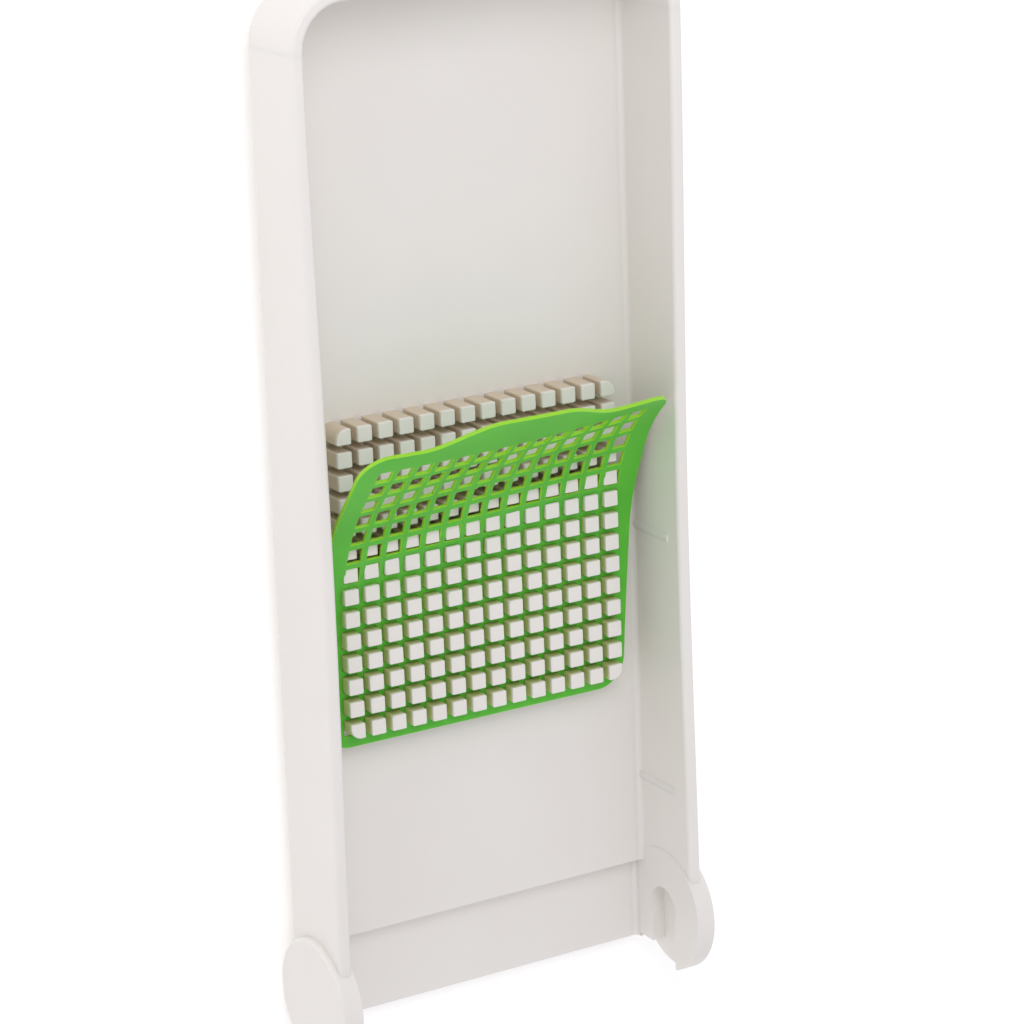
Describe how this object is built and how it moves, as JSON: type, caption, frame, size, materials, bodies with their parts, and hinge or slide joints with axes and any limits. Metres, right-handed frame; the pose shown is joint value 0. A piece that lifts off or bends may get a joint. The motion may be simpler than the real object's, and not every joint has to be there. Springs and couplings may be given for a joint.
{
  "type": "press lid of a hinged vegetable chopper",
  "caption": "White tray-shaped press lid with a square field of pusher posts, two round hinge ears with open sockets, and a flexible green cleaning grid half peeled off the posts.",
  "frame": {"origin": "middle of the bounding box in X and Y, at the lowest point of the hinge ears", "axes": "+X across the width to the right, +Y along the length from the hinge to the free end, +Z the way the posts point, with the lid lying on its back"},
  "size_m": [0.114, 0.28, 0.045],
  "materials": {
    "tray_white": "satin moulded plastic",
    "pusher_white": "satin moulded plastic",
    "grid_green": "smooth flexible rubber, slightly glossy"
  },
  "bodies": {
    "lid": {"floor_panel": "tray_white", "hinge_shelf": "tray_white", "left_side_wall": "tray_white", "right_side_wall": "tray_white", "free_end_wall": "tray_white", "left_guide_ribs": "tray_white", "right_guide_ribs": "tray_white", "left_hinge_ear": "tray_white", "right_hinge_ear": "tray_white", "pusher_row_01": "pusher_white", "pusher_row_02": "pusher_white", "pusher_row_03": "pusher_white", "pusher_row_04": "pusher_white", "pusher_row_05": "pusher_white", "pusher_row_06": "pusher_white", "pusher_row_07": "pusher_white", "pusher_row_08": "pusher_white", "pusher_row_09": "pusher_white", "pusher_row_10": "pusher_white", "pusher_row_11": "pusher_white", "pusher_row_12": "pusher_white", "pusher_row_13": "pusher_white", "pusher_row_14": "pusher_white"},
    "grid": {"cleaning_grid_seated": "grid_green"},
    "grid_flap": {"cleaning_grid_flap": "grid_green"}
  },
  "joints": [
    {"name": "grid_lift", "type": "slide", "parent": "lid", "child": "grid", "axis": [0, 0, 1], "range_m": [0, 0.045]},
    {"name": "grid_peel", "type": "hinge", "parent": "grid", "child": "grid_flap", "pos_m": [0.001, 0.00371, 0.01951], "axis": [0.9979, 0.0149, -0.0633], "range_deg": [0, 60]}
  ]
}
